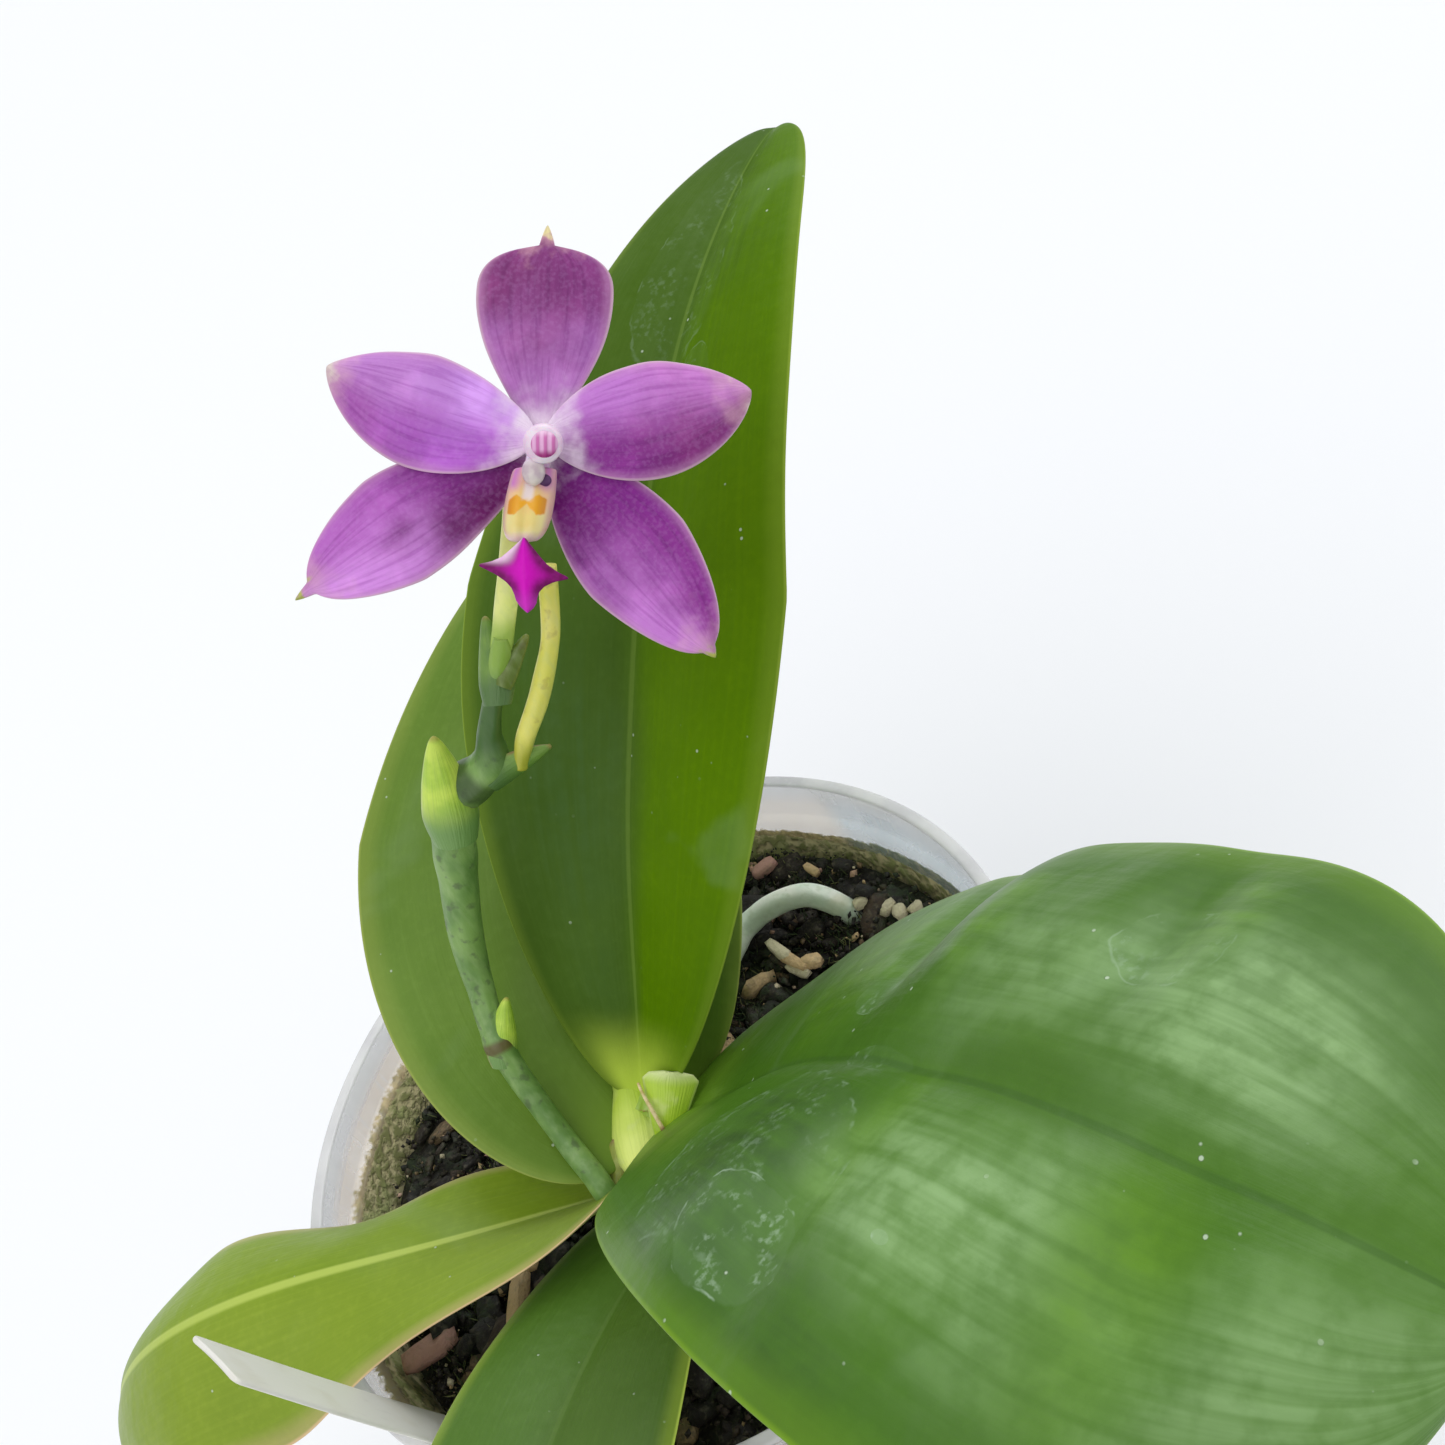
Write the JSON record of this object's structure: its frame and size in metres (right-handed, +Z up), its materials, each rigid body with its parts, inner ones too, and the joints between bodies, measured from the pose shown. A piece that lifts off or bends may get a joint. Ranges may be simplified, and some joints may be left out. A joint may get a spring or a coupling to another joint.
{
  "type": "potted moth orchid",
  "caption": "Moth orchid with broad arching leaves and a short flower spike, in bark in a clear tapered pot with drainage holes and a plain plant label.",
  "frame": {"origin": "centre of the pot's flat base, on the surface that it stands on", "axes": "+Z up along the pot's axis; -Y towards the side that the flower faces; +X to the right, seen from that side"},
  "size_m": [0.1998, 0.2007, 0.2214],
  "materials": {
    "clear_plastic": "gloss",
    "bark": "matte",
    "stem_green": "satin",
    "leaf_green": "satin",
    "light_leaf": "satin",
    "spike_green": "satin",
    "pedicel_green": "satin",
    "spent_yellow": "satin",
    "lilac": "satin",
    "lip_cream": "satin",
    "magenta": "satin",
    "column_white": "satin",
    "root_silver": "matte",
    "label_white": "satin"
  },
  "bodies": {
    "root": {"pot": "clear_plastic", "bark_mix": "bark", "stem": "stem_green", "leaf_tall": "leaf_green", "leaf_broad": "light_leaf", "leaf_near": "leaf_green", "leaf_left": "light_leaf", "leaf_front": "leaf_green", "flower_spike": "spike_green", "flower_stalk": "pedicel_green", "spent_stalk": "spent_yellow", "dorsal_sepal": "lilac", "petal_left": "lilac", "petal_right": "lilac", "lateral_sepal_left": "lilac", "lateral_sepal_right": "lilac", "lip_side_lobes": "lip_cream", "lip_middle_lobe": "magenta", "column": "column_white", "anther_cap": "magenta", "root_arched": "root_silver", "root_back": "root_silver", "root_right": "root_silver", "plant_label": "label_white"}
  },
  "joints": []
}
